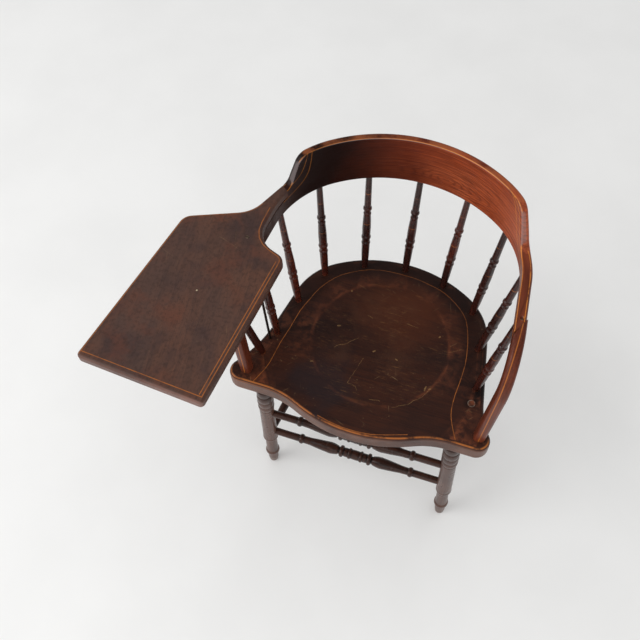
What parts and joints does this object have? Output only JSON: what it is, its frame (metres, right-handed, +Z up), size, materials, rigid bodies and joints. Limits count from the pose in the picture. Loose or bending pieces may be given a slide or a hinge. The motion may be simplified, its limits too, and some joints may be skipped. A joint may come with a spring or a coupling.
{
  "type": "writing arm windsor chair",
  "caption": "Low hoop-backed turned wooden chair with a dished plank seat and a flat paddle-shaped writing tablet fixed over one arm.",
  "frame": {"origin": "on the floor under the middle of the whole chair's bounding box", "axes": "+Z up, -Y the way the sitter faces, -X the side of the writing tablet (the sitter's right)"},
  "size_m": [0.6928, 0.5962, 0.767],
  "materials": {
    "seat_wood": "very dark brown stained and varnished plank, worn",
    "bent_wood": "red-brown stained, glossy varnish, worn orange pinstripes",
    "tablet_wood": "dark red-brown stained, satin, worn double pinstripe round the edge",
    "turned_wood": "dark stained and varnished turnings",
    "iron": "blackened iron"
  },
  "bodies": {
    "root": {"arm_post_left": "bent_wood", "arm_post_right": "bent_wood", "back_rail": "bent_wood", "leg_back_left": "turned_wood", "leg_back_right": "turned_wood", "leg_front_left": "turned_wood", "leg_front_right": "turned_wood", "scarf_screw": "iron", "seat": "seat_wood", "seat_plug": "seat_wood", "spindle_1": "turned_wood", "spindle_2": "turned_wood", "spindle_3": "turned_wood", "spindle_4": "turned_wood", "spindle_5": "turned_wood", "spindle_6": "turned_wood", "spindle_7": "turned_wood", "spindle_8": "turned_wood", "spindle_9": "turned_wood", "stretcher_back": "turned_wood", "stretcher_front_lower": "turned_wood", "stretcher_front_upper": "turned_wood", "stretcher_side_left": "turned_wood", "stretcher_side_right": "turned_wood", "tablet_brace": "turned_wood", "tablet_screw": "iron", "tie_rod": "iron", "writing_tablet": "tablet_wood"}
  },
  "joints": []
}
